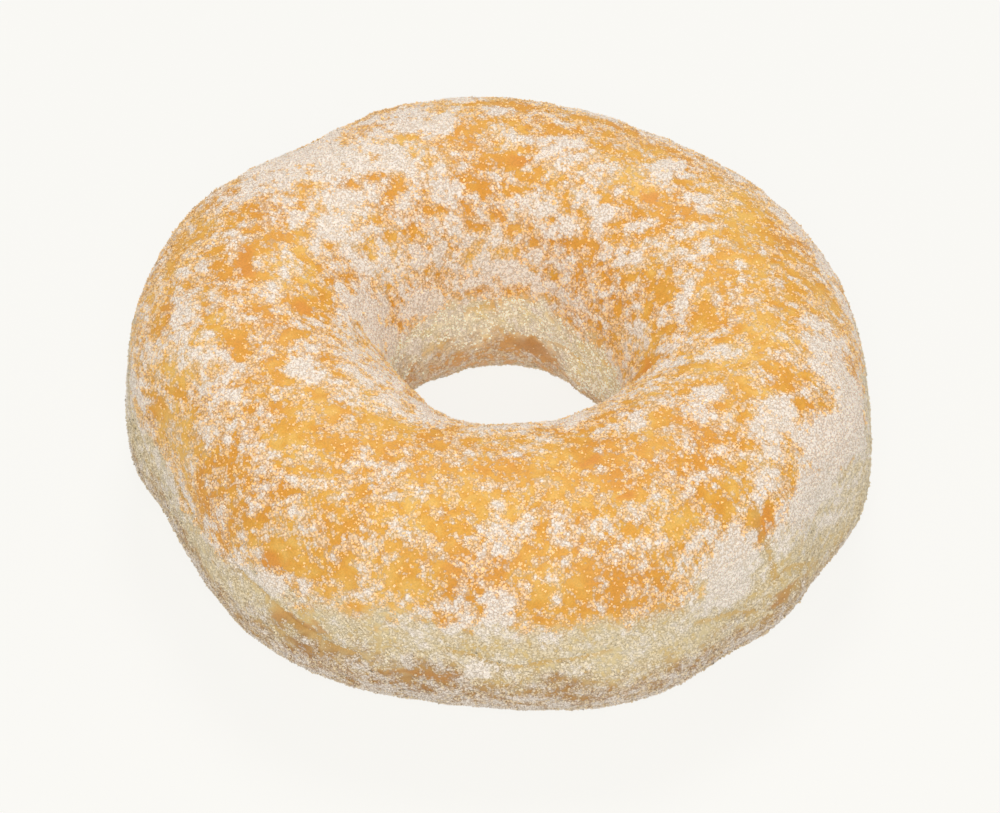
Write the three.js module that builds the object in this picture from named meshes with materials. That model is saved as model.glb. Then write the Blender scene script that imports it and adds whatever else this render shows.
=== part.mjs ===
// A sugared ring doughnut: one ring of fried dough with a domed crown, a drawn-in pale waist,
// a round hole and a flat foot that it rests on. Sizes are millimetres and +Z is up.
import * as THREE from "three";
import { ParametricGeometry } from "three/addons/geometries/ParametricGeometry.js";

// Main sizes
const RIM_RADIUS = 47.5;
const HOLE_RADIUS = 13.0;
const WAIST_HEIGHT = 15.9;
const CROWN_HEIGHT = 33.2;
// The crest of the crown lies a little nearer the hole than the middle of the dough does
const CREST_SHIFT = -0.5;
// The round underside is pressed flat by this much where the ring rests
const FOOT_SINK = 0.8;

// Mesh steps round the ring and round its section
const STEPS_ROUND = 120;
const STEPS_SECTION = 44;

// Squareness of each quarter of the section: 2 is an ellipse and more is squarer
const OUTER_TOP = 2.14;
const INNER_TOP = 1.96;
const INNER_BOTTOM = 2.24;
const OUTER_BOTTOM = 3.1;

// Slow unevenness of the ring. Each lobe has a count round the ring, a swell in millimetres
// and the azimuth of its first crest in degrees: 0 is +X, 90 is the back and 270 is the front.
const RIM_LOBES = [
  { count: 2, swell: 0.75, towards: 154 },
  { count: 3, swell: 0.3, towards: 40 },
  { count: 5, swell: 0.5, towards: 18 },
  { count: 6, swell: 0.4, towards: 48 },
  { count: 7, swell: 0.22, towards: 34 },
];
const HOLE_LOBES = [
  { count: 1, swell: 0.4, towards: 10 },
  { count: 2, swell: 1.2, towards: 156 },
  { count: 3, swell: 0.22, towards: 103 },
  { count: 4, swell: 0.75, towards: 77 },
];
const CROWN_LOBES = [
  { count: 1, swell: 1.35, towards: 124 },
  { count: 2, swell: 0.45, towards: 130 },
];

// Local swellings of the rim, and dents where the swell is negative
const RIM_SWELLS = [
  { at: 28, halfWidth: 8, swell: -0.5 },
  { at: 47, halfWidth: 7, swell: -0.4 },
  { at: 70, halfWidth: 7, swell: 0.5 },
  { at: 112, halfWidth: 9, swell: 0.9 },
  { at: 130, halfWidth: 9, swell: -1.0 },
  { at: 150, halfWidth: 9, swell: 1.3 },
  { at: 172, halfWidth: 9, swell: 0.7 },
  { at: 187, halfWidth: 7, swell: 1.2 },
  { at: 197, halfWidth: 6, swell: -0.7 },
  { at: 209, halfWidth: 5, swell: -0.3 },
  { at: 308, halfWidth: 6, swell: -0.9 },
  { at: 319, halfWidth: 6, swell: 1.0 },
  { at: 332, halfWidth: 6, swell: -0.3 },
  { at: 342, halfWidth: 8, swell: 1.3 },
];

// Folds in the surface: a soft groove along a line from one azimuth and turn of the section to
// another. Turn 0 is the outer waist, 90 the crest and 180 the waist of the hole.
const FOLDS = [
  { from: [258, 4], to: [288, 2], halfWidth: 3.2, depth: 0.55 }, // front crease
  { from: [236, -4], to: [262, -3], halfWidth: 3.0, depth: 0.4 }, // front crease, lower part
  { from: [203, 10], to: [228, 1], halfWidth: 3.4, depth: 0.6 }, // left crease
  { from: [313, -12], to: [315, 34], halfWidth: 1.8, depth: 0.6 }, // right crease, upright
  { from: [316, 2], to: [332, 12], halfWidth: 3.0, depth: 0.6 }, // right crease, slanting
  { from: [52, 6], to: [84, 1], halfWidth: 3.2, depth: 0.5 }, // back crease
  { from: [88, 171], to: [112, 172], halfWidth: 4.0, depth: 0.4 }, // crease in the hole
  { from: [30, 188], to: [66, 186], halfWidth: 4.0, depth: 0.4 }, // crease in the hole, right
];

// The waist is drawn in where the pale band runs: its depth, its middle and half width in turn
const WAIST_DRAW = 0.5;
const WAIST_TURN = 6;
const WAIST_HALF = 11;

// Broad soft pillows on the crown, and how far they rise and fall
const PILLOW_RISE = 0.3;
const PILLOWS_ROUND = 7;
const PILLOWS_ACROSS = 3;

const toRadians = THREE.MathUtils.degToRad;

// Signed shortest way from one angle to another, in degrees
function angleFrom(start, angle) {
  return THREE.MathUtils.euclideanModulo(angle - start + 180, 360) - 180;
}

function bell(distance, halfWidth) {
  return Math.exp(-((distance / halfWidth) ** 2));
}

function lobed(lobes, azimuth) {
  let sum = 0;
  for (const lobe of lobes) {
    sum += lobe.swell * Math.cos(toRadians(lobe.count * (azimuth - lobe.towards)));
  }
  return sum;
}

function swollen(swells, azimuth) {
  let sum = 0;
  for (const place of swells) {
    sum += place.swell * bell(angleFrom(place.at, azimuth), place.halfWidth);
  }
  return sum;
}

// How deep the folds are at an azimuth and a turn of the section
function foldDepth(azimuth, turn) {
  let depth = 0;
  for (const fold of FOLDS) {
    const [startAzimuth, startTurn] = fold.from;
    const runRound = angleFrom(startAzimuth, fold.to[0]);
    const runTurn = fold.to[1] - startTurn;
    const alongRound = angleFrom(startAzimuth, azimuth);
    const alongTurn = angleFrom(startTurn, turn);
    const share = (alongRound * runRound + alongTurn * runTurn) / (runRound ** 2 + runTurn ** 2);
    const nearest = THREE.MathUtils.clamp(share, 0, 1);
    const away = Math.hypot(alongRound - nearest * runRound, alongTurn - nearest * runTurn);
    depth += fold.depth * bell(away, fold.halfWidth);
  }
  return depth;
}

function squareness(outward, upward) {
  if (upward >= 0) {
    return outward >= 0 ? OUTER_TOP : INNER_TOP;
  }
  return outward >= 0 ? OUTER_BOTTOM : INNER_BOTTOM;
}

// A cosine or sine bent towards a square corner
function bent(value, power) {
  return Math.sign(value) * Math.abs(value) ** (2 / power);
}

// The relief in or out of the section, in millimetres: waist, folds and pillows
function relief(azimuth, turn) {
  const waist = WAIST_DRAW * bell(angleFrom(WAIST_TURN, turn), WAIST_HALF);
  const crown = Math.max(0, Math.sin(toRadians(turn)));
  const wave = Math.sin(toRadians(PILLOWS_ROUND * azimuth)) * Math.cos(toRadians(PILLOWS_ACROSS * turn));
  return PILLOW_RISE * crown * wave - waist - foldDepth(azimuth, turn);
}

// One point of the surface from its share of the way round the ring and round the section
function surfacePoint(shareRound, shareSection, target) {
  const azimuth = 360 * (shareRound % 1);
  const turn = 360 * (shareSection % 1);
  const rim = RIM_RADIUS + lobed(RIM_LOBES, azimuth) + swollen(RIM_SWELLS, azimuth);
  const hole = HOLE_RADIUS + lobed(HOLE_LOBES, azimuth);
  const crown = CROWN_HEIGHT + lobed(CROWN_LOBES, azimuth);
  const crest = (rim + hole) / 2 + CREST_SHIFT;

  const outward = Math.cos(toRadians(turn));
  const upward = Math.sin(toRadians(turn));
  const power = squareness(outward, upward);
  const across = bent(outward, power);
  const rise = bent(upward, power);
  const halfWidth = across >= 0 ? rim - crest : crest - hole;
  const halfHeight = rise >= 0 ? crown - WAIST_HEIGHT : WAIST_HEIGHT + FOOT_SINK;

  const out = relief(azimuth, turn);
  const radius = crest + halfWidth * across + out * outward;
  const height = WAIST_HEIGHT + halfHeight * rise + out * upward;
  const angle = toRadians(azimuth);
  target.set(radius * Math.cos(angle), radius * Math.sin(angle), Math.max(height, 0));
}

function doughnutGeometry() {
  const geometry = new ParametricGeometry(surfacePoint, STEPS_ROUND, STEPS_SECTION);
  geometry.computeBoundingBox();
  const middle = geometry.boundingBox.getCenter(new THREE.Vector3());
  geometry.translate(-middle.x, -middle.y, 0);
  geometry.computeVertexNormals();
  return geometry;
}

const sugaredCrust = new THREE.MeshStandardMaterial({
  name: "sugared_crust",
  color: 0xe2b276,
  roughness: 0.8,
  metalness: 0,
});

const doughnut = new THREE.Mesh(doughnutGeometry(), sugaredCrust);
doughnut.name = "doughnut";

const group = new THREE.Group();
group.name = "sugared_ring_doughnut";
group.add(doughnut);

export default group;
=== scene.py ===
"""The looks of a sugared ring doughnut: its crust, its sugar, and a plain soft studio around it."""
import itertools
import math

import bpy
import numpy as np
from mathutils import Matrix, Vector
from mathutils.bvhtree import BVHTree


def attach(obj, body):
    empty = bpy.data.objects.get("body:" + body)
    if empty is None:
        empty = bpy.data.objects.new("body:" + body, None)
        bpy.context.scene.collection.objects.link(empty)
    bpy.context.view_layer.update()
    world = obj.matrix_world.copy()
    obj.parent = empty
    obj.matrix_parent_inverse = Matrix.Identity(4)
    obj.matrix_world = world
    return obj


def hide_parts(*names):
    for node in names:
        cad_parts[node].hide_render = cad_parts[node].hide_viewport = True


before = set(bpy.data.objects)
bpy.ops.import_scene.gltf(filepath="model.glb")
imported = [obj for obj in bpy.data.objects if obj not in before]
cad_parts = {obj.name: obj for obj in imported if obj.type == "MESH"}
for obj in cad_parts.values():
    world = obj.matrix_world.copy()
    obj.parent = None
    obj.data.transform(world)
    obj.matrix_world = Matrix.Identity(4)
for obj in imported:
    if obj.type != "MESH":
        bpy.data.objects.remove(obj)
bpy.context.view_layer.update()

MM = 0.001
SEED = 11
BODY = "root"
NODE = "doughnut"

# The crust is a grid of points seen from the ring's core line: azimuth runs round the ring
# (0 is +X, 90 the back, 270 the front) and turn runs round the section (0 is the outer waist,
# 90 the crest, 180 the waist of the hole, 270 the foot).
COLUMNS = 480
ROWS = 204
CORE_RADIUS = 30.2 * MM
CORE_HEIGHT = 16.0 * MM
CREST_TURN = 90
# Rounds of smoothing that take away the solid's facets
FACET_PASSES = 28
# The bare crust lies this far inside the solid, so that the sugar on it ends at the solid's outline
CRUST_INSET = 0.36 * MM
# The foot lies this far above the floor, and crust below the second height counts as foot
FOOT_LIFT = 0.16 * MM
FOOT_TOP = 2 * FOOT_LIFT

# Where the crown's crust ends and where the pale band below it ends, in degrees of turn
OUTER_CROWN_EDGE = 17.0
OUTER_BAND_EDGE = -15.0
INNER_CROWN_EDGE = 168.0
INNER_BAND_EDGE = 188.0
# How far these edges wander, how ragged they are, and how far to each side they fade, in degrees
EDGE_WOBBLE = 6.0
EDGE_RAGGED = 9.0
EDGE_SOFT = 14.0
# Places where an edge lies higher or lower: azimuth, half width, and shift in turn
CROWN_EDGE_SHIFTS = [(214, 26, -13)]
BAND_EDGE_SHIFTS = [(345, 24, -11), (243, 13, 8)]
HOLE_EDGE_SHIFTS = [(22, 26, 15)]
# Turns between which the crown becomes the wall of the hole, and the share of wall from which a
# grain counts as one in the hole
HOLE_TURNS = (100, 160)
HOLE_HALFWAY = 0.5
# The zone of a place is 0 on the crown, 1 on the band and 2 below it, and each ends halfway
BAND_ZONE = 1.0
CROWN_ZONE_END = 0.5
BAND_ZONE_END = 1.5

# Noise patterns: size of a feature, layers of detail, and seed
BLISTERS = (3.2 * MM, 2, SEED + 10)
PORES = (1.2 * MM, 2, SEED + 20)
TOASTED_EDGES = (1.5 * MM, 2, SEED + 30)
ZONE_WAVES = (9 * MM, 2, SEED + 40)
ZONE_TATTERS = (1.6 * MM, 3, SEED + 50)
SUGAR_SWELLS = (5.5 * MM, 2, SEED + 60)
SUGAR_FLECKS = (1.6 * MM, 3, SEED + 65)
SUGAR_CLUMPS = (1.35 * MM, 2, SEED + 70)
PATCH_WARP_ROUND = (3.5 * MM, 3, SEED + 80)
PATCH_WARP_TURN = (3.5 * MM, 3, SEED + 85)
# Strength of each layer of noise for one of the layer before, and how far noise is spread out
LAYER_STRENGTH = 0.66
NOISE_SPREAD = 1.6
# Large whole numbers that mix up a cell's place and the seed, and the bits that are kept
CELL_MIXERS = (73856093, 19349663, 83492791)
SEED_MIXER = 2654435761
LAST_MIXER = 1274126177
KEPT_BITS = 0xFFFFFF

# Relief finer than the solid's: blisters, pores, the crust's step above the band, and drifts
BLISTER_RISE = 0.16 * MM
PORE_RISE = 0.07 * MM
LIP_RISE = 0.14 * MM
DRIFT_RISE = 0.14 * MM
# Amounts of sugar between which a drift rises
DRIFT_SLOPE = (-0.3, 0.7)

# Creases: points by azimuth and turn, half width in millimetres, and depth
CREASES = [
    ([(262, -1), (264.2, -2.1), (267, -4.5), (269, -7.2), (271, -8.4)], 0.55, 0.5 * MM),
    ([(271, -8.4), (274, -7.4), (277, -4.4), (281.6, -2.7), (287, 0)], 0.45, 0.45 * MM),
    ([(222, 10), (226, 4), (231.4, 1.6), (237.1, -6.4), (242.4, -10.9), (248, -12)], 0.65, 0.6 * MM),
    ([(315.5, 36), (314.6, 27), (315.4, 18.1), (315.8, 10.2), (316.5, -2.6)], 0.7, 0.2 * MM),
    ([(316.5, -2.6), (318.5, 0.5), (321, -3), (324.5, -10)], 0.5, 0.3 * MM),
    ([(301, 1), (305.8, -3.4), (309.5, -8.6), (312.6, -13.5)], 0.5, 0.35 * MM),
    ([(318, -13), (321, -14.5), (324.1, -15.9), (329.4, -19.2)], 0.6, 0.45 * MM),
    ([(203, 8), (209, 4), (215, 6)], 0.6, 0.35 * MM),
    ([(110, 173.4), (105, 172.2), (100, 171.6), (91, 172)], 0.7, 0.45 * MM),
    ([(28, 186), (44, 184), (58, 187), (70, 188)], 0.6, 0.4 * MM),
    ([(52, 6), (59, 3), (66, 0), (72, 2), (79, 5), (87, 2), (94, 3), (101, -2)], 0.5, 0.45 * MM),
    ([(126, 4), (139, -4), (151, 2)], 0.6, 0.4 * MM),
]
# Millimetres in a degree of azimuth and of turn, for a point 44 mm out and 17 mm from the core line
AZIMUTH_MM = math.radians(1) * 44
TURN_MM = math.radians(1) * 17
# Width of a crease's golden line, darkened as painted shade, for each of its own width
CREASE_LINE_WIDTH = 0.8

# Sugar drifts, thick and thin, and bare patches: azimuth, turn, and half widths in degrees of each
DRIFTS = [
    # right
    (322, 20, 6, 10), (325, 84, 6, 5), (329, 24, 6, 9), (331, 55, 6, 8), (333, 30, 6, 9),
    (338, 113, 3, 4), (340, 25, 7, 9), (344, 34, 6, 8), (344, 92, 4, 4), (348, 118, 4, 4),
    (349, 44, 6, 6), (352, 50, 9, 9), (0, 100, 4, 3), (3, 112, 4, 4), (6, 30, 6, 6), (8, 86, 5, 3),
    (18, 36, 8, 8), (20, 98, 4, 4), (26, 20, 8, 9), (32, 44, 6, 7), (34, 84, 4, 3), (34, 126, 5, 5),
    (41, 29, 7, 7),
    # back
    (45, 49, 5, 5), (47, 80, 3, 10), (47, 83, 3, 4), (51, 120, 4, 4), (57, 35, 8, 8),
    (58, 52, 8, 5), (68, 127, 8, 4), (72, 57, 6, 6), (73, 39, 8, 7), (84, 155, 9, 6),
    (89, 40, 8, 9), (97, 158, 9, 4), (98, 60, 6, 6), (98, 147, 5, 4), (102, 82, 4, 8),
    (105, 119, 4, 4), (107, 39, 9, 7), (112, 67, 7, 8), (112, 83, 8, 7), (118, 100, 6, 5),
    (120, 146, 5, 4), (124, 33, 8, 10), (127, 63, 8, 10), (127, 90, 10, 13),
    # left
    (135, 75, 10, 10), (135, 158, 10, 4), (138, 29, 7, 7), (141, 57, 8, 9), (145, 105, 6, 4),
    (146, 68, 8, 8), (146, 109, 7, 3), (150, 130, 8, 5), (152, 22, 7, 9), (152, 95, 6, 3),
    (163, 162, 11, 9), (165, 15, 6, 8), (170, 143, 11, 8), (172, 130, 6, 6), (176, 153, 8, 7),
    (178, 4, 7, 10), (181, 57, 6, 8), (188, 20, 5, 6), (208, 99, 5, 6),
    # front
    (229, 11, 11, 7), (267, -10, 3, 3), (270, 29, 5, 7), (304, 100, 6, 5), (306, 8, 7, 9),
    (306, 20, 5, 8), (310, 29, 4, 6),
]
THIN_DRIFTS = [
    # right
    (324, 42, 6, 6), (335, 4, 12, 9), (341, 22, 16, 16),
    # back
    (62, 22, 9, 8), (75, 95, 20, 8), (90, 75, 22, 6), (98, 26, 7, 8), (128, 20, 9, 9),
    # left
    (152, 182, 14, 9), (203, 66, 13, 12), (205, 6, 16, 12), (222, 129, 36, 13),
    # front
    (268, 14, 14, 5), (292, 129, 26, 10), (306, 28, 7, 11), (309, 20, 6, 12),
]
BARE = [
    # right
    (316.3, 27, 1.4, 8), (329, 121, 4, 6), (336, 104, 4, 8), (337, 80, 4, 6), (345, 138, 5, 8),
    (350, 106, 5, 5), (356, 123, 5, 6), (11, 134, 5, 4), (22, 80, 8, 8), (29, 141, 7, 3),
    (30, 10, 5, 5), (31, 60, 6, 5), (42, 120, 6, 7), (44, 102, 7, 5),
    # back
    (46, 17, 5, 5), (58, 140, 7, 3), (72, 112, 7, 4), (72, 195, 16, 8), (80, 49, 4, 3),
    (81, 24, 6, 5), (84, 106, 4, 7), (93, 121, 8, 4), (95, 90, 4, 5), (103, 145, 6, 6),
    (113, 25, 5, 6), (123, 110, 9, 3), (130, 126, 8, 5),
    # left
    (145, 14, 5, 4), (160, 98, 4, 7), (161, 53, 4, 8), (168, 43, 5, 5), (170, 82, 6, 4),
    (171, 112, 6, 9), (184, 108, 4, 6), (195, 101, 5, 8), (197, 38, 3, 7), (197, 82, 3, 9),
    (207, 89, 5, 5), (219, 94, 4, 6), (222, 76, 3, 8),
    # front
    (231, 78, 4, 8), (232, 103, 7, 4), (235, 30, 4, 7), (236, 26, 3, 5), (237, 92, 5, 4),
    (243, 24, 5, 5), (244, 95, 3, 13), (250, 50, 4, 9), (254, 36, 3, 8), (259, 62, 4, 5),
    (272, 45, 5, 7), (276, 92, 5, 5), (284, 65, 12, 3), (289, 31, 6, 5), (290, 92, 5, 6),
    (291, 52, 5, 6), (306, 46, 8, 4), (306, 80, 6, 5), (313, 90, 5, 4),
]

# Spots where the crust is toasted darker, in the same way
TOASTED = [
    # right
    (316, 28, 2, 6), (318, -13, 4, 3), (345, 138, 4, 4), (20, -20, 8, 4), (44, 100, 4, 3),
    # back
    (70, 195, 15, 6), (84, 106, 4, 4), (120, -18, 9, 4),
    # left
    (170, 82, 6, 4), (184, 108, 3, 4),
    # front
    (233, 23, 3, 5), (238, -5, 5, 4), (260, -17, 7, 3), (291, 87, 3, 3), (295, 65, 3, 2),
]
# How ragged the spots' outlines are, in degrees of azimuth and of turn
TOASTED_RAGGED = (1.5, 2.5)

# Sugar that lies everywhere, by zone, and how much more each zone has in the hole
CROWN_SUGAR = 0.05
BAND_SUGAR = 0.22
UNDER_SUGAR = 0.24
HOLE_CROWN_SUGAR = 0.2
HOLE_BAND_SUGAR = 0.12
HOLE_UNDER_SUGAR = -0.15
# More sugar on the lower crust's outside, growing between these turns below the waist
LOW_SUGAR = 0.5
LOW_TURNS = (18, 45)
# What drifts add, what bare patches take and how much less they take on the band, and what
# toasted spots take
DRIFT_SUGAR = 0.88
THIN_DRIFT_SUGAR = 0.5
BARE_LOSS = 0.4
BARE_LESS_ON_BAND = 0.4
TOASTED_LOSS = 0.55
# The crown has more sugar round this azimuth: half width in degrees, and how much
SUGARY_SIDE = 150
SUGARY_HALF_WIDTH = 50
SUGARY_GAIN = 0.13
# The patches' outlines wander by these degrees of azimuth and of turn
PATCH_WARP = (3.2, 6.4)
# Noise in the sugar is drawn out along X: swells, clumps and flecks, with less of the last two on
# the band, and the noise between which flecks come in
STREAK_SQUEEZE = (0.75, 1.0, 1.0)
SWELL_SUGAR = 0.16
CLUMP_SUGAR = 0.72
CLUMP_LESS_ON_BAND = 0.3
FLECK_SUGAR = 0.4
FLECK_LESS_ON_BAND = 0.5
FLECK_SLOPE = (0.25, 0.6)
# Fine ripples break the sugar up: number of waves, their lengths, weight and seed
RIPPLE_COUNT = 14
RIPPLE_LENGTHS = (0.7 * MM, 1.6 * MM)
RIPPLE_SHARE = 0.18
RIPPLE_SEED = SEED + 90

# Colours as seen in soft light, red green blue out of 255
CRUST_DEEP = (223, 151, 45)
CRUST_GOLD = (230, 168, 60)
CRUST_PALE = (237, 188, 94)
TOAST_ORANGE = (222, 142, 44)
TOAST_BROWN = (184, 126, 56)
BAND_CREAM = (221, 202, 157)
BAND_YELLOW = (215, 184, 119)
# The hole's wall is lightened as painted light against the shade in the hole; its lower part is also the
# dough's own orange-brown
HOLE_LIT_CREAM = (255, 243, 212)
HOLE_LIT_YELLOW = (248, 228, 166)
HOLE_LIT_BROWN = (220, 159, 80)
# The creases' line: the dough's golden colour in a fold, darkened as painted shade in the crease
CREASE_GOLD_SHADED = (208, 160, 78)
# The crust below the band: its own brown, darkened further as painted shade
UNDER_BROWN_SHADED = (167, 116, 51)
UNDER_TAN_SHADED = (187, 144, 81)
SUGAR_WHITE = (248, 236, 223)
SUGAR_BLUSH = (249, 228, 202)
SUGAR_ON_BAND = (236, 223, 200)
# Sugar below the band, greyed and darkened as painted shade
SUGAR_SHADED_BELOW = (228, 217, 205)
LONE_ON_CROWN = (251, 200, 126)
LONE_ON_BAND = (223, 205, 168)
# A lone grain in the hole, lightened as painted light
LONE_LIT_IN_HOLE = (255, 243, 219)
# A lone grain below the band, darkened as painted shade
LONE_SHADED_BELOW = (210, 186, 147)

# Browning of the dough: size of its patches, and size, detail and weight of its mottling
BROWNING_SIZE = 9 * MM
MOTTLE_SIZE = 1.4 * MM
MOTTLE_DETAIL = 3.0
MOTTLE_WEIGHT = 0.7
# Amounts of browning noise between which each part of the dough goes from its first tone to its next
GOLD_SLOPE = (0.62, 0.98)
PALE_SLOPE = (0.85, 1.15)
BAND_SLOPE = (0.65, 1.05)
WALL_SLOPE = (0.7, 1.0)
UNDER_SLOPE = (0.65, 1.1)
# Zones between which the crust below, the toasted spots' brown and the band's sugar come in
UNDER_ZONES = (1.0, 2.0)
TOAST_ZONES = (0.4, 1.4)
BAND_SUGAR_ZONES = (0.3, 1.0)
# How far the hole's tones, lightened as painted light, the toasted spots and the creases, with
# painted shade, cover the dough, and the strength between which a spot or a crease comes in
LIT_WALL_COVER = 0.85
HOLE_LIT_BROWN_COVER = 0.7
TOASTED_COVER = 0.8
CREASE_SHADE_COVER = 0.55
SPOT_SLOPE = (0.1, 1.0)

# Caked sugar in the crust's colour: size of a grain, how much grains differ, what a crease takes away
CAKED_GRAIN = 0.33 * MM
CAKED_SPREAD = 0.35
CREASE_CLEARS = 0.7
# Amounts of sugar between which the crust is sugared, goes white, and goes white on the band
SUGARED_SLOPE = (0.06, 0.24)
WHITE_SLOPE = (0.42, 0.92)
BAND_WHITE_SLOPE = (0.7, 1.25)
# Edge of a caked grain, from outside to inside, and how much grains differ in size
DOT_EDGE = (0.84, 0.6)
DOT_SPREAD = 0.4
# Share of the colour that is sugar: on bare crust, between grains, below the band, and what lumps
# and white heaps add
BARE_FILM = 0.03
SUGAR_FILM = 0.27
UNDER_FILM = 0.16
LUMP_FROST = 0.33
WHITE_FROST = 0.48
# Painted light: specks paint glints and specks of shade, painted shade dims the sugared crust
# between grains, and a painted highlight brightens each lump
SPECK_SIZE = 0.22 * MM
SPECK_DETAIL = 1.0
SPECK_SLOPE = (0.3, 0.7)
SPECK_GLINT_SHADE = (0.9, 1.06)
SUGARED_PAINTED_SHADE = 0.14
LUMP_PAINTED_HIGHLIGHT = 0.2
# Bumps of lumps and specks, and the crust's roughness from bare to sugared
SPECK_HEIGHT = 0.4
BUMP_STRENGTH = 0.7
BUMP_DISTANCE = 0.16 * MM
CRUST_ROUGHNESS = (0.5, 0.75)
CRUST_SPECULAR = 0.3

# Sugar grains: name, kind of crystal, smallest and largest size, how many, and how often one
# stays on the crown for each that stays on the band and below
GRAIN_KINDS = [
    ("sugar_powder", "splinter", 0.16 * MM, 0.27 * MM, 48000, 1.0),
    ("sugar_dust", "octahedron", 0.14 * MM, 0.20 * MM, 22500, 1.0),
    ("sugar_fine", "octahedron", 0.19 * MM, 0.26 * MM, 24000, 1.0),
    ("sugar_crystal", "block", 0.14 * MM, 0.21 * MM, 16000, 1.0),
    ("sugar_crumb", "block", 0.24 * MM, 0.36 * MM, 1000, 0.12),
]
# How far an octahedron's, a splinter's and a block's corners lie from its middle along each axis
OCTAHEDRON_REACH = 0.62
SPLINTER_REACH = 0.5
BLOCK_REACH = 0.5
# Places tried at a time for each grain that is wanted
TRIES_PER_GRAIN = 4
# Chance that a grain stays: on bare crust, and what is added where sugar lies thin and thick
BARE_CHANCE = 0.13
THIN_CHANCE = 0.5
THIN_SLOPE = (-0.12, 0.1)
THICK_CHANCE = 0.37
THICK_SLOPE = (0.35, 0.75)
# Share of the grains that creases and toasted spots lose, and that the foot keeps
CREASE_GRAIN_LOSS = 0.6
TOASTED_GRAIN_LOSS = 0.8
FOOT_SHARE = 0.25
# Stretch along each axis, lift in sizes, and how much smaller grains are where they are heaped
GRAIN_STRETCH = (0.75, 1.25)
GRAIN_LIFT = (0.0, 0.4)
HEAP_SHRINK = 0.3
HEAP_SLOPE = (0.4, 0.9)
# How far a heaped grain's tint goes from a lone one's to the sugar's, and how much grains differ
TINT_REACH = 0.86
TINT_SLOPE = (0.18, 0.95)
TINT_SPREAD = 0.1
BAND_TINT_SLOPE = (0.6, 1.1)
GRAIN_BRIGHTNESS = (0.9, 1.1)
# Each grain has a square of its own on its flat map: middle, reach, and slant by height
SQUARE_MIDDLE = 0.5
SQUARE_REACH = 0.3
SQUARE_SLANT = 0.1
# A small grain's facets are shaded this much like the crust that it lies on, and a painted glow in
# its own tint lightens its shaded sides
GLOW_THROUGH = 2.0
GRAIN_PAINTED_GLOW = 0.22
# Cloudy spots in a grain, how white they are, and the roughness from clear to cloudy
CLOUD_SIZE = 0.12 * MM
CLOUD_SLOPE = (0.35, 0.7)
CLOUD_WHITE = 0.15
GRAIN_ROUGHNESS = (0.35, 0.55)
GRAIN_SPECULAR = 0.35

# Camera and studio
VIEW_ELEVATION = 44.9
VIEW_DISTANCE = 600 * MM
VIEW_TARGET = (0.42 * MM, -0.48 * MM, 13.5 * MM)
VIEW_WIDTH = 130.0 * MM
SENSOR_WIDTH = 36.0
NEAREST_SEEN = 10 * MM
FLOOR_SIDE = 4.0
FLOOR_COLOUR = (78, 78, 77)
FLOOR_GLOW_COLOUR = (255, 254, 250)
FLOOR_GLOW = 0.86
FLOOR_PATCH = 0.6
FLOOR_SLOPE = (0.2, 0.8)
FLOOR_LIGHTER = 0.02
FLOOR_ROUGHNESS = 0.9
FLOOR_SPECULAR = 0.1
KEY_PLACE = (0.0, -0.65, 0.68)
KEY_SIZE = 0.3
KEY_POWER = 3.74
TOP_PLACE = (0.04, 0.44, 0.8)
TOP_SIZE = 0.3
TOP_POWER = 2.88
WORLD_COLOUR = (1.0, 0.99, 0.975, 1.0)
WORLD_STRENGTH = 0.46

# What each kind of mesh attribute calls its values
VALUE_NAMES = {"FLOAT": "value", "FLOAT_COLOR": "color", "FLOAT_VECTOR": "vector"}
# Keeps a division by an area away from zero
TINY_AREA = 1e-15


# Small helpers

def smooth_step(low, high, value):
    """0 up to low, 1 from high on, and an even slope between."""
    share = np.clip((value - low) / (high - low), 0, 1)
    return share * share * (3 - 2 * share)


def bell(distance, half_width):
    return np.exp(-(distance / half_width) ** 2)


def angle_from(start, angle):
    """Signed shortest way from one angle to another, in degrees."""
    return (angle - start + 180) % 360 - 180


def linear(colour):
    """A screen colour out of 255 as linear light, by the sRGB formula, with alpha."""
    parts = [part / 255 for part in colour]
    light = [part / 12.92 if part <= 0.04045 else ((part + 0.055) / 1.055) ** 2.4 for part in parts]
    return (*light, 1.0)


def lattice_random(cells, seed):
    """A repeatable random number from 0 to 1 for each whole-numbered lattice cell."""
    mixed = seed * SEED_MIXER
    for along_axis, mixer in zip(cells.T, CELL_MIXERS):
        mixed = mixed ^ along_axis * mixer
    mixed = (mixed ^ (mixed >> 13)) * LAST_MIXER
    mixed = mixed ^ (mixed >> 16)
    return (mixed & KEPT_BITS) / KEPT_BITS


def value_noise(points, cell, seed):
    """Smooth noise from 0 to 1 with features of about one cell, in metres."""
    scaled = points / cell
    base = np.floor(scaled).astype(np.int64)
    part = scaled - base
    eased = part * part * (3 - 2 * part)
    total = np.zeros(len(points))
    for corner in itertools.product((0, 1), repeat=3):
        sides = np.where(corner, eased, 1 - eased)
        total += sides.prod(axis=1) * lattice_random(base + corner, seed)
    return total


def layered_noise(points, cell, layers, seed):
    """Noise from about -1 to 1, each layer half the size of the last and weaker."""
    total = np.zeros(len(points))
    weight_sum = 0
    for layer in range(layers):
        weight = LAYER_STRENGTH ** layer
        total += weight * (2 * value_noise(points, cell / 2 ** layer, seed + layer) - 1)
        weight_sum += weight
    return total / weight_sum * NOISE_SPREAD


def ripple_waves():
    """Waves in random directions, as a vector and a phase each."""
    draw = np.random.default_rng(RIPPLE_SEED)
    directions = draw.normal(size=(RIPPLE_COUNT, 3))
    directions /= np.linalg.norm(directions, axis=1, keepdims=True)
    lengths = np.geomspace(*RIPPLE_LENGTHS, RIPPLE_COUNT)
    phases = draw.uniform(0, 2 * math.pi, RIPPLE_COUNT)
    return directions * (2 * math.pi / lengths)[:, None], phases


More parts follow.
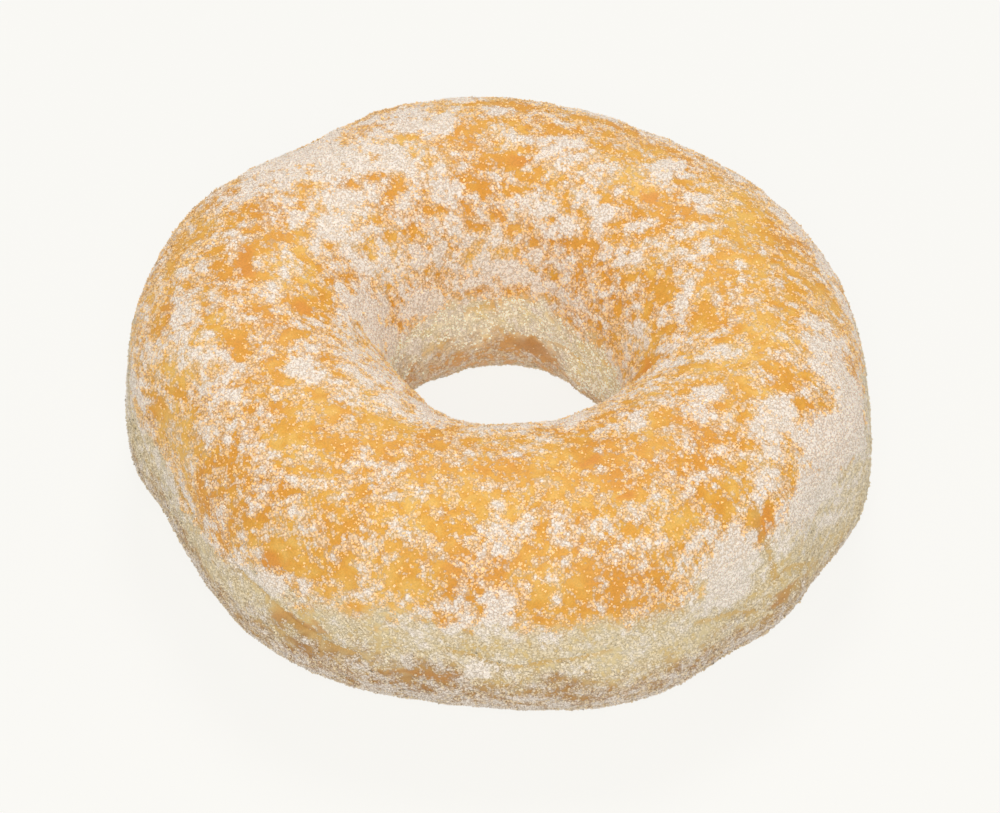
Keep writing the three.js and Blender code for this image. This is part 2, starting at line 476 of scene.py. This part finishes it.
def ripples(points):
    """Fine unevenness of the sugar, mostly from -1 to 1."""
    waves, phases = ripple_waves()
    return np.sin(points @ waves.T + phases).sum(axis=1) * math.sqrt(2 / RIPPLE_COUNT)


# The ring's own coordinates

def ring_points(azimuth, turn, reach):
    """Points at an azimuth and a turn, in degrees, and a reach from the core line."""
    radius = CORE_RADIUS + reach * np.cos(np.radians(turn))
    height = CORE_HEIGHT + reach * np.sin(np.radians(turn))
    angle = np.radians(azimuth)
    return np.stack([radius * np.cos(angle), radius * np.sin(angle), height], axis=-1)


def ring_coordinates(points):
    """Azimuth and turn of points, in degrees, with turn from -90 to 270."""
    azimuth = np.degrees(np.arctan2(points[:, 1], points[:, 0])) % 360
    radius = np.hypot(points[:, 0], points[:, 1])
    turn = np.degrees(np.arctan2(points[:, 2] - CORE_HEIGHT, radius - CORE_RADIUS))
    return azimuth, (turn + 90) % 360 - 90


def solid_reach(node):
    """How far the solid reaches from the core line at each azimuth and turn of the grid."""
    tree = BVHTree.FromObject(node, bpy.context.evaluated_depsgraph_get())
    up = Vector((0, 0, 1))
    reach = np.empty((COLUMNS, ROWS))
    for column, azimuth in enumerate(np.linspace(0, 2 * math.pi, COLUMNS, endpoint=False)):
        outward = Vector((math.cos(azimuth), math.sin(azimuth), 0))
        core = outward * CORE_RADIUS + up * CORE_HEIGHT
        for row, turn in enumerate(np.linspace(0, 2 * math.pi, ROWS, endpoint=False)):
            ray = outward * math.cos(turn) + up * math.sin(turn)
            reach[column, row] = tree.ray_cast(core, ray)[3]
    return reach


def smoothed(grid, passes):
    """A grid that closes on itself both ways, with each value drawn towards its neighbours."""
    for _ in range(passes):
        for axis in (0, 1):
            grid = (np.roll(grid, 1, axis) + 2 * grid + np.roll(grid, -1, axis)) / 4
    return grid


# What lies where on the ring

def in_hole_share(turn):
    return smooth_step(*HOLE_TURNS, turn)


def edge_shift(shifts, azimuth):
    return sum(shift * bell(angle_from(at, azimuth), half_width) for at, half_width, shift in shifts)


def crust_zone(points, azimuth, turn):
    """0 on the crown, 1 on the pale band and 2 on the lower crust, with ragged edges."""
    wobble = EDGE_WOBBLE * layered_noise(points, *ZONE_WAVES)
    ragged = EDGE_RAGGED * layered_noise(points, *ZONE_TATTERS)
    crown_edge = OUTER_CROWN_EDGE + edge_shift(CROWN_EDGE_SHIFTS, azimuth)
    band_edge = OUTER_BAND_EDGE + edge_shift(BAND_EDGE_SHIFTS, azimuth)
    hole_edge = INNER_BAND_EDGE + edge_shift(HOLE_EDGE_SHIFTS, azimuth)
    outer_side = turn < CREST_TURN
    past_crown = np.where(outer_side, crown_edge - turn, turn - INNER_CROWN_EDGE) + wobble + ragged
    past_band = np.where(outer_side, band_edge - turn, turn - hole_edge) + wobble + ragged
    return smooth_step(-1, 1, past_crown / EDGE_SOFT) + smooth_step(-1, 1, past_band / EDGE_SOFT)


def patch_sum(patches, azimuth, turn):
    """How much of a patch lies at each place, from 0 to 1 with flat tops."""
    total = np.zeros(len(azimuth))
    for at, at_turn, half_round, half_turn in patches:
        away = (angle_from(at, azimuth) / half_round) ** 2 + ((turn - at_turn) / half_turn) ** 2
        total += np.exp(-away ** 2)
    return np.minimum(total, 1)


def toasted_share(points, azimuth, turn):
    ragged_round, ragged_turn = TOASTED_RAGGED
    ragged = layered_noise(points, *TOASTED_EDGES)
    return patch_sum(TOASTED, azimuth + ragged_round * ragged, turn + ragged_turn * ragged)


def sugar_field(points, azimuth, turn, zone):
    """How thick the sugar lies: about -1 on bare crust, 0 at a drift's edge and 1 in a drift."""
    crown = np.clip(1 - zone, 0, 1)
    band = 1 - np.abs(np.clip(zone, 0, 2) - 1)
    under = np.clip(zone - 1, 0, 1)
    low_down = smooth_step(*LOW_TURNS, -turn)
    level = CROWN_SUGAR * crown + BAND_SUGAR * band + (UNDER_SUGAR + LOW_SUGAR * low_down) * under
    hole_level = HOLE_CROWN_SUGAR * crown + HOLE_BAND_SUGAR * band + HOLE_UNDER_SUGAR * under
    level += in_hole_share(turn) * hole_level

    warp_round, warp_turn = PATCH_WARP
    warped_azimuth = azimuth + warp_round * layered_noise(points, *PATCH_WARP_ROUND)
    warped_turn = turn + warp_turn * layered_noise(points, *PATCH_WARP_TURN)
    level += DRIFT_SUGAR * patch_sum(DRIFTS, warped_azimuth, warped_turn)
    level += THIN_DRIFT_SUGAR * patch_sum(THIN_DRIFTS, warped_azimuth, warped_turn)
    level -= BARE_LOSS * patch_sum(BARE, warped_azimuth, warped_turn) * (1 - BARE_LESS_ON_BAND * band)
    level -= TOASTED_LOSS * toasted_share(points, azimuth, turn)
    level += SUGARY_GAIN * crown * bell(angle_from(SUGARY_SIDE, azimuth), SUGARY_HALF_WIDTH)

    streaked = points * STREAK_SQUEEZE
    flecks = smooth_step(*FLECK_SLOPE, layered_noise(streaked, *SUGAR_FLECKS))
    level += FLECK_SUGAR * (1 - FLECK_LESS_ON_BAND * band) * flecks
    level += SWELL_SUGAR * layered_noise(streaked, *SUGAR_SWELLS)
    level += (CLUMP_SUGAR - CLUMP_LESS_ON_BAND * band) * layered_noise(streaked, *SUGAR_CLUMPS)
    return level


def crease_depths(azimuth, turn):
    """How deep the creases are, in metres, and how much of their golden line, darkened as painted shade,
    shows.
    """
    depth = np.zeros(len(azimuth))
    line = np.zeros(len(azimuth))
    for path, half_width, crease_depth in CREASES:
        nearest = np.full(len(azimuth), np.inf)
        for (start, start_turn), (end, end_turn) in zip(path[:-1], path[1:]):
            run_x = angle_from(start, end) * AZIMUTH_MM
            run_y = (end_turn - start_turn) * TURN_MM
            along_x = angle_from(start, azimuth) * AZIMUTH_MM
            along_y = (turn - start_turn) * TURN_MM
            share = np.clip((along_x * run_x + along_y * run_y) / (run_x ** 2 + run_y ** 2), 0, 1)
            nearest = np.minimum(nearest, np.hypot(along_x - share * run_x, along_y - share * run_y))
        depth = np.maximum(depth, crease_depth * bell(nearest, half_width))
        line = np.maximum(line, bell(nearest, CREASE_LINE_WIDTH * half_width))
    return depth, line


# Meshes and what is stored in them

def mesh_piece(name, points, faces, smooth):
    mesh = bpy.data.meshes.new(name)
    mesh.from_pydata(points, [], faces)
    mesh.polygons.foreach_set("use_smooth", np.full(len(mesh.polygons), smooth))
    piece = bpy.data.objects.new(name, mesh)
    bpy.context.scene.collection.objects.link(piece)
    return piece


def set_values(piece, name, kind, values):
    """Stores a value at each point of a piece, for its material to read."""
    attribute = piece.data.attributes.new(name, kind, "POINT")
    attribute.data.foreach_set(VALUE_NAMES[kind], values.astype(np.float32).ravel())


def set_bake_map(piece, places):
    """Places the faces' corners on the piece's own flat map."""
    layer = piece.data.uv_layers.new(name="OFBake")
    layer.data.foreach_set("uv", places.astype(np.float32).ravel())


# The crust piece

def crust_surface(node):
    """Grid of crust points, and the values that the crust's material reads at them."""
    azimuths = np.linspace(0, 360, COLUMNS, endpoint=False)
    turns = np.linspace(0, 360, ROWS, endpoint=False)
    azimuth, turn = np.meshgrid(azimuths, turns, indexing="ij")
    reach = smoothed(solid_reach(node), FACET_PASSES) - CRUST_INSET
    flat_points = ring_points(azimuth, turn, reach).reshape(-1, 3)
    flat_azimuth, flat_turn = ring_coordinates(flat_points)
    zone = crust_zone(flat_points, flat_azimuth, flat_turn)
    sugar = sugar_field(flat_points, flat_azimuth, flat_turn, zone)
    depth, line = crease_depths(flat_azimuth, flat_turn)
    relief = BLISTER_RISE * layered_noise(flat_points, *BLISTERS)
    relief += PORE_RISE * layered_noise(flat_points, *PORES)
    relief += LIP_RISE * np.abs(np.clip(zone, 0, 2) - 1)
    relief += DRIFT_RISE * smooth_step(*DRIFT_SLOPE, sugar)
    relief -= depth
    points = ring_points(azimuth, turn, reach + relief.reshape(COLUMNS, ROWS))
    points[..., 2] = np.maximum(points[..., 2], FOOT_LIFT)
    values = {
        "zone": zone,
        "sugar": sugar,
        "crease": line,
        "toasted": toasted_share(flat_points, flat_azimuth, flat_turn),
        "hole": in_hole_share(ring_coordinates(points.reshape(-1, 3))[1]),
    }
    return points, values


def make_crust(points, values):
    """The crust as one closed skin of four-sided faces."""
    columns, rows = np.meshgrid(np.arange(COLUMNS), np.arange(ROWS), indexing="ij")
    steps = [(0, 0), (1, 0), (1, 1), (0, 1)]
    corners = [((columns + step) % COLUMNS, (rows + rise) % ROWS) for step, rise in steps]
    faces = np.stack([column * ROWS + row for column, row in corners], axis=-1).reshape(-1, 4)
    crust = mesh_piece("crust", points.reshape(-1, 3), faces.tolist(), True)
    for name, point_values in values.items():
        set_values(crust, name, "FLOAT", point_values)
    flat = [((columns + step) / COLUMNS, (rows + rise) / ROWS) for step, rise in steps]
    set_bake_map(crust, np.stack([np.stack(place, axis=-1) for place in flat], axis=-2))
    return crust


# The sugar grains

def octahedron():
    points = np.array([(1, 0, 0), (-1, 0, 0), (0, 1, 0), (0, -1, 0), (0, 0, 1), (0, 0, -1)], float)
    faces = [(0, 2, 4), (2, 1, 4), (1, 3, 4), (3, 0, 4), (2, 0, 5), (1, 2, 5), (3, 1, 5), (0, 3, 5)]
    return points * OCTAHEDRON_REACH, np.array(faces)


def block():
    points = np.array(list(itertools.product((-1, 1), repeat=3)), float)
    faces = [(0, 1, 3, 2), (4, 6, 7, 5), (0, 4, 5, 1), (2, 3, 7, 6), (0, 2, 6, 4), (1, 5, 7, 3)]
    return points * BLOCK_REACH, np.array(faces)


def splinter():
    points = np.array([(1, 1, 1), (1, -1, -1), (-1, 1, -1), (-1, -1, 1)], float)
    faces = [(0, 1, 2), (0, 3, 1), (0, 2, 3), (1, 3, 2)]
    return points * SPLINTER_REACH, np.array(faces)


CRYSTALS = {"octahedron": octahedron, "block": block, "splinter": splinter}


def random_turns(count, draw):
    """Random rotations, as one matrix each."""
    spin = draw.normal(size=(count, 4))
    w, x, y, z = (spin / np.linalg.norm(spin, axis=1, keepdims=True)).T
    rows = [
        [1 - 2 * (y * y + z * z), 2 * (x * y - z * w), 2 * (x * z + y * w)],
        [2 * (x * y + z * w), 1 - 2 * (x * x + z * z), 2 * (y * z - x * w)],
        [2 * (x * z - y * w), 2 * (y * z + x * w), 1 - 2 * (x * x + y * y)],
    ]
    return np.array(rows).transpose(2, 0, 1)


def grain_chance(place, azimuth, turn, zone, field, crown_share):
    """How likely a grain is to stay at each place."""
    chance = BARE_CHANCE + THIN_CHANCE * smooth_step(*THIN_SLOPE, field)
    chance += THICK_CHANCE * smooth_step(*THICK_SLOPE, field)
    chance *= 1 - CREASE_GRAIN_LOSS * crease_depths(azimuth, turn)[1]
    chance *= np.where(place[:, 2] > FOOT_TOP, 1, FOOT_SHARE)
    chance *= np.where(zone < BAND_ZONE, crown_share, 1)
    chance *= 1 - TOASTED_GRAIN_LOSS * toasted_share(place, azimuth, turn)
    return chance


def scatter(points, count, crown_share, draw):
    """Draws places on the crust where sugar lies, with the surface's direction and sugar there."""
    right = np.roll(points, -1, 0) - points
    upward = np.roll(points, -1, 1) - points
    normal = np.cross(right, upward)
    areas = np.linalg.norm(normal, axis=-1)
    normal /= areas[..., None] + TINY_AREA
    ladder = np.cumsum(areas.ravel())
    starts, rights, upwards, normals = (grid.reshape(-1, 3) for grid in (points, right, upward, normal))
    places, directions, fields = [], [], []
    found = 0
    while found < count:
        cells = np.searchsorted(ladder, draw.random(TRIES_PER_GRAIN * count) * ladder[-1])
        share_right, share_up = draw.random((2, len(cells), 1))
        place = starts[cells] + share_right * rights[cells] + share_up * upwards[cells]
        azimuth, turn = ring_coordinates(place)
        zone = crust_zone(place, azimuth, turn)
        field = sugar_field(place, azimuth, turn, zone) + RIPPLE_SHARE * ripples(place)
        chance = grain_chance(place, azimuth, turn, zone, field, crown_share)
        kept = draw.random(len(cells)) < chance
        places.append(place[kept])
        directions.append(normals[cells][kept])
        fields.append(np.stack([field, zone, in_hole_share(turn)], axis=-1)[kept])
        found += kept.sum()
    return [np.concatenate(parts)[:count] for parts in (places, directions, fields)]


def grain_tints(fields, draw):
    """A lone grain lets the crust below show through, and a heaped one is white; grains in the hole are
    lightened as painted light and grains below the band darkened as painted shade.
    """
    field, zone, in_hole = fields.T
    on_crown = (zone < CROWN_ZONE_END)[:, None]
    below = (zone > BAND_ZONE_END)[:, None]
    on_wall = (in_hole > HOLE_HALFWAY)[:, None]
    # Grains in the hole take a tint lightened as painted light
    lone = np.where(on_wall, linear(LONE_LIT_IN_HOLE), linear(LONE_ON_BAND))
    lone = np.where(on_crown, linear(LONE_ON_CROWN), lone)
    # Grains below the band take tints darkened as painted shade
    lone = np.where(below, linear(LONE_SHADED_BELOW), lone)
    white = np.array(linear(SUGAR_WHITE))
    band_white = np.array(linear(SUGAR_ON_BAND))
    band_white = band_white + (white - band_white) * smooth_step(*BAND_TINT_SLOPE, field)[:, None]
    heaped = np.where(on_crown, white, band_white)
    # Heaped sugar below the band is greyed as painted shade
    heaped = np.where(below, linear(SUGAR_SHADED_BELOW), heaped)
    share = TINT_REACH * smooth_step(*TINT_SLOPE, field) + draw.normal(0, TINT_SPREAD, len(field))
    tints = lone + (heaped - lone) * np.clip(share, 0, 1)[:, None]
    tints[:, :3] *= draw.uniform(*GRAIN_BRIGHTNESS, (len(field), 1))
    return np.clip(tints, 0, 1)


def grain_map(count, shape, shape_faces):
    """Where the corners of the grains' faces lie on their flat map."""
    side = math.ceil(math.sqrt(count))
    squares = np.stack([np.arange(count) % side, np.arange(count) // side], axis=-1)
    spread = SQUARE_REACH * shape[:, :2] / np.abs(shape).max()
    inside = SQUARE_MIDDLE + spread + SQUARE_SLANT * shape[:, 2:]
    return (squares[:, None, None] + inside[shape_faces][None]) / side


def make_grains(name, crystal, smallest, largest, count, crown_share, points, seed):
    """Many grains of one kind as one piece, lying on the crust where its sugar is."""
    draw = np.random.default_rng(seed)
    shape, shape_faces = CRYSTALS[crystal]()
    places, directions, fields = scatter(points, count, crown_share, draw)
    sizes = draw.uniform(smallest, largest, (count, 1)) * draw.uniform(*GRAIN_STRETCH, (count, 3))
    sizes *= 1 - HEAP_SHRINK * smooth_step(*HEAP_SLOPE, fields[:, :1])
    turned = np.einsum("nij,nkj->nki", random_turns(count, draw), shape[None] * sizes[:, None])
    lift = sizes.mean(axis=1, keepdims=True) * draw.uniform(*GRAIN_LIFT, (count, 1))
    corners = turned + (places + directions * lift)[:, None]
    corners[..., 2] = np.maximum(corners[..., 2], 0)
    faces = shape_faces[None] + (np.arange(count) * len(shape))[:, None, None]
    face_list = faces.reshape(-1, shape_faces.shape[1]).tolist()
    grains = mesh_piece(name, corners.reshape(-1, 3), face_list, False)
    tints = grain_tints(fields, draw)
    set_values(grains, "tint", "FLOAT_COLOR", np.repeat(tints, len(shape), axis=0))
    set_values(grains, "outward", "FLOAT_VECTOR", np.repeat(directions, len(shape), axis=0))
    set_bake_map(grains, grain_map(count, shape, shape_faces))
    return grains


# Materials

def add_node(tree, kind, inputs=None, **settings):
    """A shader node with its settings made and its inputs set or linked."""
    made = tree.nodes.new(kind)
    for key, value in settings.items():
        setattr(made, key, value)
    for key, value in (inputs or {}).items():
        if isinstance(value, bpy.types.NodeSocket):
            tree.links.new(value, made.inputs[key])
        else:
            made.inputs[key].default_value = value
    return made


def blend(tree, share, low, high):
    """Colour between two colours or colour sockets, which are inputs 6 and 7 of a mix node."""
    return add_node(tree, "ShaderNodeMix", {0: share, 6: low, 7: high}, data_type="RGBA").outputs[2]


def ease(tree, value, low=0.0, high=1.0, start=0.0, end=1.0):
    """A smooth step of a value, from start to end."""
    inputs = {"Value": value, "From Min": low, "From Max": high, "To Min": start, "To Max": end}
    return add_node(tree, "ShaderNodeMapRange", inputs, interpolation_type="SMOOTHSTEP").outputs["Result"]


def add_up(tree, value, other, factor):
    """One value plus a factor of another."""
    inputs = {0: other, 1: factor, 2: value}
    return add_node(tree, "ShaderNodeMath", inputs, operation="MULTIPLY_ADD").outputs[0]


def noise(tree, place, size, detail=2.0):
    """Noise from 0 to 1 with features of about one size, in metres."""
    inputs = {"Vector": place, "Scale": 1 / size, "Detail": detail}
    return add_node(tree, "ShaderNodeTexNoise", inputs).outputs["Fac"]


def ripple_nodes(tree, place):
    """The same fine unevenness as ripples() gives, as a node value."""
    total = 0.0
    for wave, phase in zip(*ripple_waves()):
        inputs = {0: place, 1: tuple(wave)}
        along = add_node(tree, "ShaderNodeVectorMath", inputs, operation="DOT_PRODUCT").outputs["Value"]
        along = add_node(tree, "ShaderNodeMath", {0: along, 1: phase}, operation="ADD").outputs[0]
        swing = add_node(tree, "ShaderNodeMath", {0: along}, operation="SINE").outputs[0]
        total = add_up(tree, total, swing, math.sqrt(2 / RIPPLE_COUNT))
    return total


def object_place(tree):
    return add_node(tree, "ShaderNodeTexCoord").outputs["Object"]


def read_value(tree, name, output="Fac"):
    """What is stored at the piece's points under a name."""
    return add_node(tree, "ShaderNodeAttribute", attribute_name=name).outputs[output]


def new_material(name):
    material = bpy.data.materials.new(name)
    material.use_nodes = True
    return material, material.node_tree, material.node_tree.nodes["Principled BSDF"]


def dough_colour(tree, place, zone, crease):
    """Golden crown, pale band, cream hole in painted light, brown lower crust and creases darkened with
    painted shade, toasted spots.
    """
    hole = read_value(tree, "hole")
    mottle = noise(tree, place, MOTTLE_SIZE, MOTTLE_DETAIL)
    browning = add_up(tree, noise(tree, place, BROWNING_SIZE), mottle, MOTTLE_WEIGHT)
    crown = blend(tree, ease(tree, browning, *GOLD_SLOPE), linear(CRUST_DEEP), linear(CRUST_GOLD))
    crown = blend(tree, ease(tree, browning, *PALE_SLOPE), crown, linear(CRUST_PALE))
    band = blend(tree, ease(tree, browning, *BAND_SLOPE), linear(BAND_YELLOW), linear(BAND_CREAM))
    # Painted light: the hole's wall takes lighter tones than the band and the crust below
    lit_wall = blend(tree, ease(tree, browning, *WALL_SLOPE), linear(HOLE_LIT_YELLOW), linear(HOLE_LIT_CREAM))
    band = blend(tree, ease(tree, hole, end=LIT_WALL_COVER), band, lit_wall)
    # The crust below the band is its own brown, darkened as painted shade
    under = blend(tree, ease(tree, browning, *UNDER_SLOPE), linear(UNDER_BROWN_SHADED), linear(UNDER_TAN_SHADED))
    under = blend(tree, ease(tree, hole, end=HOLE_LIT_BROWN_COVER), under, linear(HOLE_LIT_BROWN))
    dough = blend(tree, ease(tree, zone), crown, band)
    dough = blend(tree, ease(tree, zone, *UNDER_ZONES), dough, under)
    toast = blend(tree, ease(tree, zone, *TOAST_ZONES), linear(TOAST_ORANGE), linear(TOAST_BROWN))
    toasted = ease(tree, read_value(tree, "toasted"), *SPOT_SLOPE, end=TOASTED_COVER)
    dough = blend(tree, toasted, dough, toast)
    # Painted shade: creases take a darker golden line
    crease_shade = ease(tree, crease, *SPOT_SLOPE, end=CREASE_SHADE_COVER)
    return blend(tree, crease_shade, dough, linear(CREASE_GOLD_SHADED))


def caked_colour(tree, zone, thick, white):
    """The colour of sugar that cakes the crust: whiter where it is thicker, darker below the band as
    painted shade.
    """
    on_crown = blend(tree, white, linear(SUGAR_BLUSH), linear(SUGAR_WHITE))
    band_share = ease(tree, thick, *BAND_WHITE_SLOPE)
    on_band = blend(tree, band_share, linear(SUGAR_ON_BAND), linear(SUGAR_WHITE))
    caked = blend(tree, ease(tree, zone, *BAND_SUGAR_ZONES), on_crown, on_band)
    # Painted shade: sugar below the band turns greyer
    return blend(tree, ease(tree, zone, *UNDER_ZONES), caked, linear(SUGAR_SHADED_BELOW))


def crust_material():
    """Dough with caked sugar on it."""
    material, tree, surface = new_material("sugared_crust")
    place = object_place(tree)
    zone = read_value(tree, "zone")
    crease = read_value(tree, "crease")

    caked = add_node(tree, "ShaderNodeTexVoronoi", {"Vector": place, "Scale": 1 / CAKED_GRAIN})
    drawn, spread, _ = add_node(tree, "ShaderNodeSeparateColor", {"Color": caked.outputs["Color"]}).outputs
    uneven = ripple_nodes(tree, caked.outputs["Position"])
    thick = add_up(tree, read_value(tree, "sugar"), uneven, RIPPLE_SHARE)
    thick = add_up(tree, thick, drawn, CAKED_SPREAD)
    thick = add_up(tree, thick, crease, -CREASE_CLEARS)
    sugared = ease(tree, thick, *SUGARED_SLOPE)
    white = ease(tree, thick, *WHITE_SLOPE)
    dot = ease(tree, add_up(tree, caked.outputs["Distance"], spread, DOT_SPREAD), *DOT_EDGE)
    lump = add_node(tree, "ShaderNodeMath", {0: sugared, 1: dot}, operation="MULTIPLY").outputs[0]
    film = ease(tree, zone, *UNDER_ZONES, SUGAR_FILM, UNDER_FILM)
    frost = add_up(tree, ease(tree, sugared, start=BARE_FILM, end=film), lump, LUMP_FROST)
    frost = add_up(tree, frost, white, WHITE_FROST)

    dough = dough_colour(tree, place, zone, crease)
    colour = blend(tree, frost, dough, caked_colour(tree, zone, thick, white))
    speck = noise(tree, place, SPECK_SIZE, SPECK_DETAIL)
    # Painted glints and shade on the crust: specks, painted shade between grains, a painted highlight on
    # lumps
    painted_glint_shade = add_up(tree, ease(tree, speck, *SPECK_SLOPE, *SPECK_GLINT_SHADE), sugared, -SUGARED_PAINTED_SHADE)
    painted_glint_shade = add_up(tree, painted_glint_shade, lump, LUMP_PAINTED_HIGHLIGHT)
    colour = add_node(tree, "ShaderNodeHueSaturation", {"Color": colour, "Value": painted_glint_shade}).outputs["Color"]

    height = add_up(tree, lump, speck, SPECK_HEIGHT)
    inputs = {"Height": height, "Strength": BUMP_STRENGTH, "Distance": BUMP_DISTANCE}
    bump = add_node(tree, "ShaderNodeBump", inputs)
    start, end = CRUST_ROUGHNESS
    tree.links.new(colour, surface.inputs["Base Color"])
    tree.links.new(ease(tree, frost, start=start, end=end), surface.inputs["Roughness"])
    tree.links.new(bump.outputs["Normal"], surface.inputs["Normal"])
    surface.inputs["Specular IOR Level"].default_value = CRUST_SPECULAR
    return material


def grain_material():
    """Clear to cloudy sugar in each grain's own tint, with a painted glow that lightens its shaded sides.
    """
    material, tree, surface = new_material("sugar_grain")
    tint = read_value(tree, "tint", "Color")
    cloud = ease(tree, noise(tree, object_place(tree), CLOUD_SIZE), *CLOUD_SLOPE, end=CLOUD_WHITE)
    tree.links.new(blend(tree, cloud, tint, linear(SUGAR_WHITE)), surface.inputs["Base Color"])
    tree.links.new(ease(tree, cloud, 0.0, CLOUD_WHITE, *GRAIN_ROUGHNESS), surface.inputs["Roughness"])
    facet = add_node(tree, "ShaderNodeNewGeometry").outputs["Normal"]
    inputs = {0: read_value(tree, "outward", "Vector"), 1: (GLOW_THROUGH,) * 3, 2: facet}
    leaning = add_node(tree, "ShaderNodeVectorMath", inputs, operation="MULTIPLY_ADD").outputs["Vector"]
    normal = add_node(tree, "ShaderNodeVectorMath", {0: leaning}, operation="NORMALIZE").outputs["Vector"]
    tree.links.new(normal, surface.inputs["Normal"])
    # Painted glow: the grain gives light of its own in its tint, lightening its shaded sides
    tree.links.new(tint, surface.inputs["Emission Color"])
    surface.inputs["Emission Strength"].default_value = GRAIN_PAINTED_GLOW
    surface.inputs["Specular IOR Level"].default_value = GRAIN_SPECULAR
    return material


def floor_material():
    """A matt floor that glows, so that it looks white in the studio."""
    material, tree, surface = new_material("studio_floor")
    shade = ease(tree, noise(tree, object_place(tree), FLOOR_PATCH), *FLOOR_SLOPE, end=FLOOR_LIGHTER)
    colour = blend(tree, shade, linear(FLOOR_COLOUR), linear(SUGAR_WHITE))
    tree.links.new(colour, surface.inputs["Base Color"])
    surface.inputs["Emission Color"].default_value = linear(FLOOR_GLOW_COLOUR)
    surface.inputs["Emission Strength"].default_value = FLOOR_GLOW
    surface.inputs["Roughness"].default_value = FLOOR_ROUGHNESS
    surface.inputs["Specular IOR Level"].default_value = FLOOR_SPECULAR
    return material


# The studio

def make_floor():
    half = FLOOR_SIDE / 2
    points = [(-half, -half, 0), (half, -half, 0), (half, half, 0), (-half, half, 0)]
    floor = mesh_piece("floor", points, [(0, 1, 2, 3)], False)
    floor.data.materials.append(floor_material())


def make_light(name, place, size, power):
    """A square soft light that shines on the doughnut."""
    data = bpy.data.lights.new(name, "AREA")
    data.size = size
    data.energy = power
    light = bpy.data.objects.new(name, data)
    light.location = place
    light.rotation_euler = (Vector(VIEW_TARGET) - Vector(place)).to_track_quat("-Z", "Y").to_euler()
    bpy.context.scene.collection.objects.link(light)


def make_world():
    world = bpy.data.worlds.new("studio")
    world.use_nodes = True
    background = world.node_tree.nodes["Background"]
    background.inputs["Color"].default_value = WORLD_COLOUR
    background.inputs["Strength"].default_value = WORLD_STRENGTH
    bpy.context.scene.world = world


def make_camera():
    """A camera in front of the doughnut and above it, as in the photo."""
    data = bpy.data.cameras.new("camera")
    data.sensor_fit = "HORIZONTAL"
    data.sensor_width = SENSOR_WIDTH
    data.lens = SENSOR_WIDTH * VIEW_DISTANCE / VIEW_WIDTH
    data.clip_start = NEAREST_SEEN
    camera = bpy.data.objects.new("camera", data)
    elevation = math.radians(VIEW_ELEVATION)
    away = Vector((0, -math.cos(elevation), math.sin(elevation)))
    camera.location = Vector(VIEW_TARGET) + away * VIEW_DISTANCE
    camera.rotation_euler = (math.pi / 2 - elevation, 0, 0)
    bpy.context.scene.collection.objects.link(camera)
    bpy.context.scene.camera = camera


def main():
    make_camera()
    make_floor()
    make_light("front_light", KEY_PLACE, KEY_SIZE, KEY_POWER)
    make_light("top_light", TOP_PLACE, TOP_SIZE, TOP_POWER)
    make_world()
    bpy.context.scene.view_settings.view_transform = "Standard"

    points, values = crust_surface(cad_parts[NODE])
    crust = make_crust(points, values)
    crust.data.materials.append(crust_material())
    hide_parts(NODE)
    pieces = [crust]
    sugar_look = grain_material()
    for number, kind in enumerate(GRAIN_KINDS):
        grains = make_grains(*kind, points, SEED + number)
        grains.data.materials.append(sugar_look)
        pieces.append(grains)
    for piece in pieces:
        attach(piece, BODY)


main()
